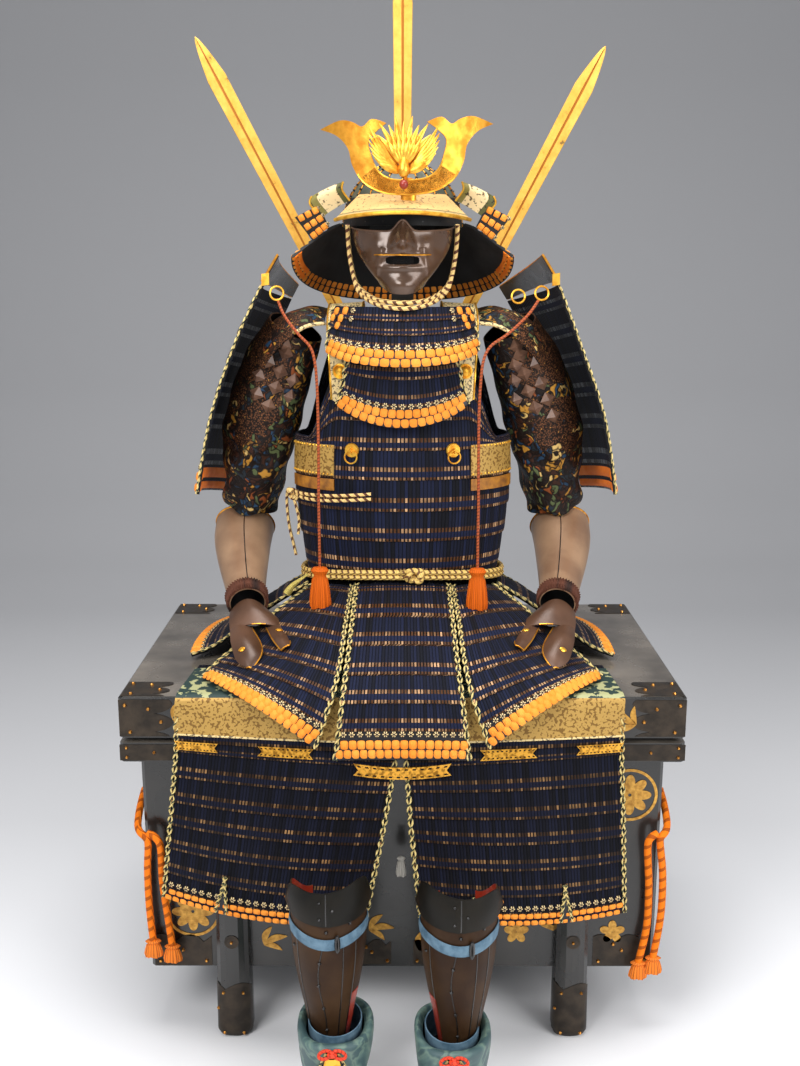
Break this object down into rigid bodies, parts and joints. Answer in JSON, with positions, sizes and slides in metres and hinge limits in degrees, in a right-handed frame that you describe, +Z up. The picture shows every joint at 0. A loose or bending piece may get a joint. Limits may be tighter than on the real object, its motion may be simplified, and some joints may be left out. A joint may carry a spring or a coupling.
{
  "type": "samurai armour seated on its lacquered armour chest, on a hidden wooden armour stand",
  "caption": "Laced samurai armour in dark blue and orange with crested helmet and half-mask, seated on its black lacquered chest with orange ropes.",
  "frame": {"origin": "on the floor, under the middle of the whole box of the part", "axes": "+X to the viewer's right, -Y the front that faces the viewer, +Z up along the seated figure"},
  "size_m": [0.972, 0.9874, 1.938],
  "materials": {
    "lacquered_wood": "black lacquer, glossy",
    "stand_wood": "plain",
    "strap_leather": "printed and gilt-edged",
    "gilt_metal": "gilt, satin",
    "black_iron": "black lacquer on iron",
    "russet_iron": "russet lacquer on iron",
    "brocade": "woven, gold thread",
    "boot_cloth": "woven",
    "braid": "gold and brown braid",
    "orange_silk": "silk cord",
    "laced_lames": "silk lacing over lacquered scales"
  },
  "bodies": {
    "armour": {"chest_body": "lacquered_wood", "chest_lid": "lacquered_wood", "chest_leg_front_left": "lacquered_wood", "chest_leg_back_left": "lacquered_wood", "chest_leg_front_right": "lacquered_wood", "chest_leg_back_right": "lacquered_wood", "stand": "stand_wood", "cuirass_front": "laced_lames", "cuirass_back": "laced_lames", "shoulder_strap_left": "strap_leather", "shoulder_strap_right": "strap_leather", "ring_mount_left": "gilt_metal", "ring_mount_right": "gilt_metal", "belt": "braid", "skirt_front": "laced_lames", "skirt_front_left": "laced_lames", "skirt_front_right": "laced_lames", "skirt_side_left": "laced_lames", "skirt_side_right": "laced_lames", "skirt_back_left": "laced_lames", "skirt_back_right": "laced_lames", "thigh_guard_left": "laced_lames", "thigh_guard_right": "laced_lames", "shin_guard_left": "russet_iron", "boot_left": "boot_cloth", "shin_guard_right": "russet_iron", "boot_right": "boot_cloth", "sleeve_left": "brocade", "forearm_guard_left": "russet_iron", "hand_guard_left": "russet_iron", "sleeve_right": "brocade", "forearm_guard_right": "russet_iron", "hand_guard_right": "russet_iron", "sode_left": "laced_lames", "sode_plate_left": "black_iron", "sode_right": "laced_lames", "sode_plate_right": "black_iron", "helmet_bowl": "black_iron", "visor": "strap_leather", "neck_guard": "laced_lames", "turnback_left": "strap_leather", "turnback_right": "strap_leather", "crest": "gilt_metal", "crest_ornament": "gilt_metal", "blade_left": "gilt_metal", "blade_middle": "gilt_metal", "blade_right": "gilt_metal", "blade_socket": "black_iron", "mask": "russet_iron", "throat_guard": "laced_lames", "gorget": "laced_lames", "chin_cord": "braid", "tassel_cord_left": "orange_silk", "tassel_cord_right": "orange_silk", "side_cord": "braid", "chest_rope_left": "orange_silk", "chest_rope_right": "orange_silk"},
    "breast_ring_left": {"breast_ring_left": "gilt_metal"},
    "breast_ring_right": {"breast_ring_right": "gilt_metal"}
  },
  "joints": [
    {"name": "breast_ring_left_swing", "type": "hinge", "parent": "armour", "child": "breast_ring_left", "pos_m": [-0.09247, 0.04688, 1.0405], "axis": [-0.9563, 0.2924, 0], "range_deg": [0, 100]},
    {"name": "breast_ring_right_swing", "type": "hinge", "parent": "armour", "child": "breast_ring_right", "pos_m": [0.09247, 0.04688, 1.0405], "axis": [-0.9563, -0.2924, 0], "range_deg": [0, 100]}
  ]
}
